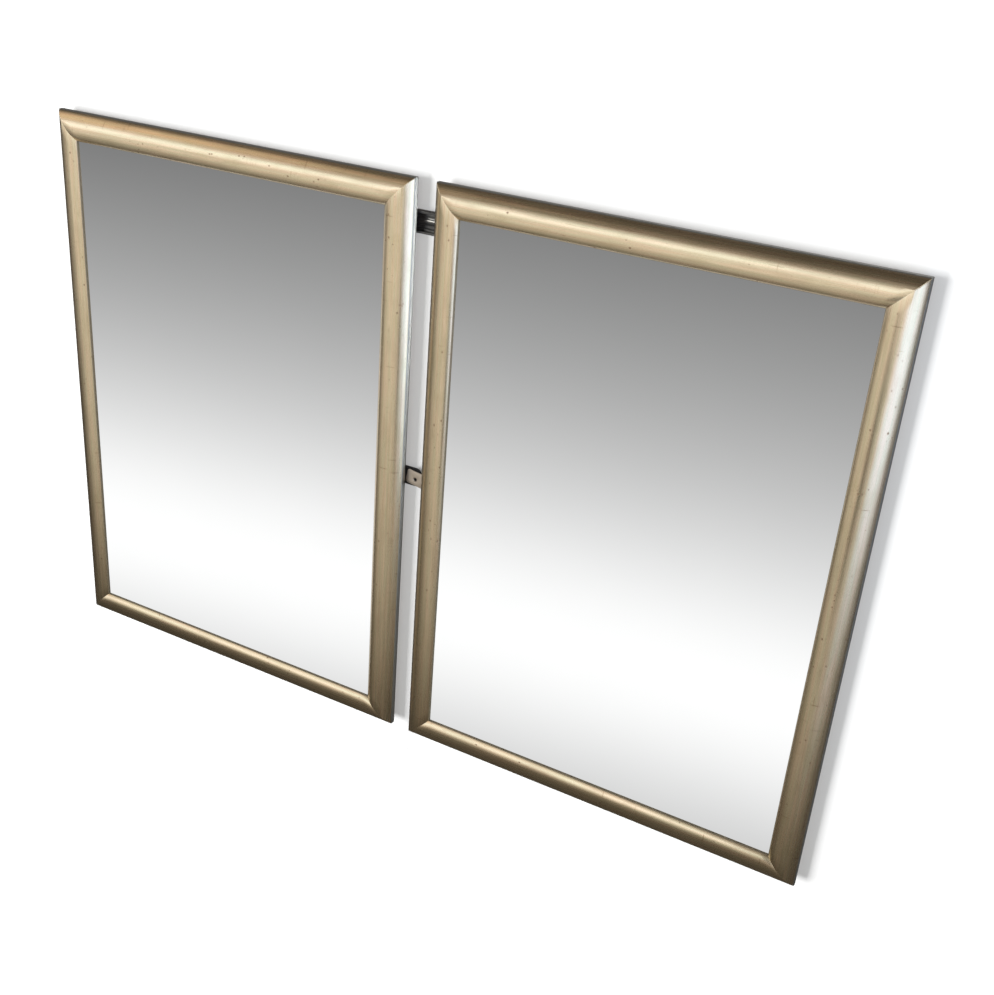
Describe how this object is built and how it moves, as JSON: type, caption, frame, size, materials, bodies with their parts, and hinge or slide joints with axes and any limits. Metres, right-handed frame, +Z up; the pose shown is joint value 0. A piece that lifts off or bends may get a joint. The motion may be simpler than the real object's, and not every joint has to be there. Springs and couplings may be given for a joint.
{
  "type": "shutter mirror",
  "caption": "Wall-hung pair of framed mirrors that slide apart like shutters on one ball-bearing track, held closed by a magnetic catch.",
  "frame": {"origin": "middle of the wall side of the track channel, halfway between the two leaves", "axes": "+X to the right as seen by someone facing the mirrors, +Y into the wall, +Z up"},
  "size_m": [1.652, 0.044, 1.106],
  "materials": {
    "gilt_wood": "champagne gold leaf on a wooden moulding, lacquered",
    "silvered_glass": "polished silvered float glass",
    "hardboard": "plain hardboard",
    "beech": "plain planed",
    "felt": "pressed felt",
    "black_steel": "black semi-gloss",
    "black_rubber": "matt",
    "black_plastic": "fine matt",
    "magnet_steel": "nickel plated",
    "satin_plate": "warm satin",
    "ball_steel": "polished",
    "cage_steel": "zinc plated",
    "zinc_steel": "zinc plated"
  },
  "bodies": {
    "track": {"track_channel": "black_steel", "centre_stops": "black_rubber"},
    "left_leaf": {"left_top_rail": "gilt_wood", "left_bottom_rail": "gilt_wood", "left_inner_stile": "gilt_wood", "left_outer_stile": "gilt_wood", "left_mirror": "silvered_glass", "left_backing_board": "hardboard", "left_framing_points": "zinc_steel", "left_corner_nails": "zinc_steel", "left_spacer_blocks": "beech", "left_felt_pads": "felt", "left_block_screws": "zinc_steel", "left_runner": "black_steel", "left_runner_screws": "zinc_steel", "magnet_holder": "black_plastic", "holder_packing": "black_plastic", "holder_screws": "zinc_steel", "magnet": "magnet_steel"},
    "left_middle": {"left_middle_member": "black_steel"},
    "left_outer_bearing": {"left_outer_cage": "cage_steel", "left_outer_balls": "ball_steel"},
    "left_inner_bearing": {"left_inner_cage": "cage_steel", "left_inner_balls": "ball_steel"},
    "right_leaf": {"right_top_rail": "gilt_wood", "right_bottom_rail": "gilt_wood", "right_inner_stile": "gilt_wood", "right_outer_stile": "gilt_wood", "right_mirror": "silvered_glass", "right_backing_board": "hardboard", "right_framing_points": "zinc_steel", "right_corner_nails": "zinc_steel", "right_spacer_blocks": "beech", "right_felt_pads": "felt", "right_block_screws": "zinc_steel", "right_runner": "black_steel", "right_runner_screws": "zinc_steel", "keeper_plate": "satin_plate", "keeper_screws": "zinc_steel"},
    "right_middle": {"right_middle_member": "black_steel"},
    "right_outer_bearing": {"right_outer_cage": "cage_steel", "right_outer_balls": "ball_steel"},
    "right_inner_bearing": {"right_inner_cage": "cage_steel", "right_inner_balls": "ball_steel"}
  },
  "joints": [
    {"name": "left_leaf_slide", "type": "slide", "parent": "track", "child": "left_leaf", "axis": [-1, 0, 0], "range_m": [0, 0.62]},
    {"name": "left_middle_slide", "type": "slide", "parent": "track", "child": "left_middle", "axis": [-1, 0, 0], "range_m": [0, 0.31]},
    {"name": "left_outer_bearing_slide", "type": "slide", "parent": "track", "child": "left_outer_bearing", "axis": [-1, 0, 0], "range_m": [0, 0.155]},
    {"name": "left_inner_bearing_slide", "type": "slide", "parent": "track", "child": "left_inner_bearing", "axis": [-1, 0, 0], "range_m": [0, 0.465]},
    {"name": "right_leaf_slide", "type": "slide", "parent": "track", "child": "right_leaf", "axis": [1, 0, 0], "range_m": [0, 0.62]},
    {"name": "right_middle_slide", "type": "slide", "parent": "track", "child": "right_middle", "axis": [1, 0, 0], "range_m": [0, 0.31]},
    {"name": "right_outer_bearing_slide", "type": "slide", "parent": "track", "child": "right_outer_bearing", "axis": [1, 0, 0], "range_m": [0, 0.155]},
    {"name": "right_inner_bearing_slide", "type": "slide", "parent": "track", "child": "right_inner_bearing", "axis": [1, 0, 0], "range_m": [0, 0.465]}
  ],
  "couplings": [
    {"joint": "left_middle_slide", "follows": "left_leaf_slide", "ratio": 0.5},
    {"joint": "left_outer_bearing_slide", "follows": "left_leaf_slide", "ratio": 0.25},
    {"joint": "left_inner_bearing_slide", "follows": "left_leaf_slide", "ratio": 0.75},
    {"joint": "right_middle_slide", "follows": "right_leaf_slide", "ratio": 0.5},
    {"joint": "right_outer_bearing_slide", "follows": "right_leaf_slide", "ratio": 0.25},
    {"joint": "right_inner_bearing_slide", "follows": "right_leaf_slide", "ratio": 0.75}
  ]
}
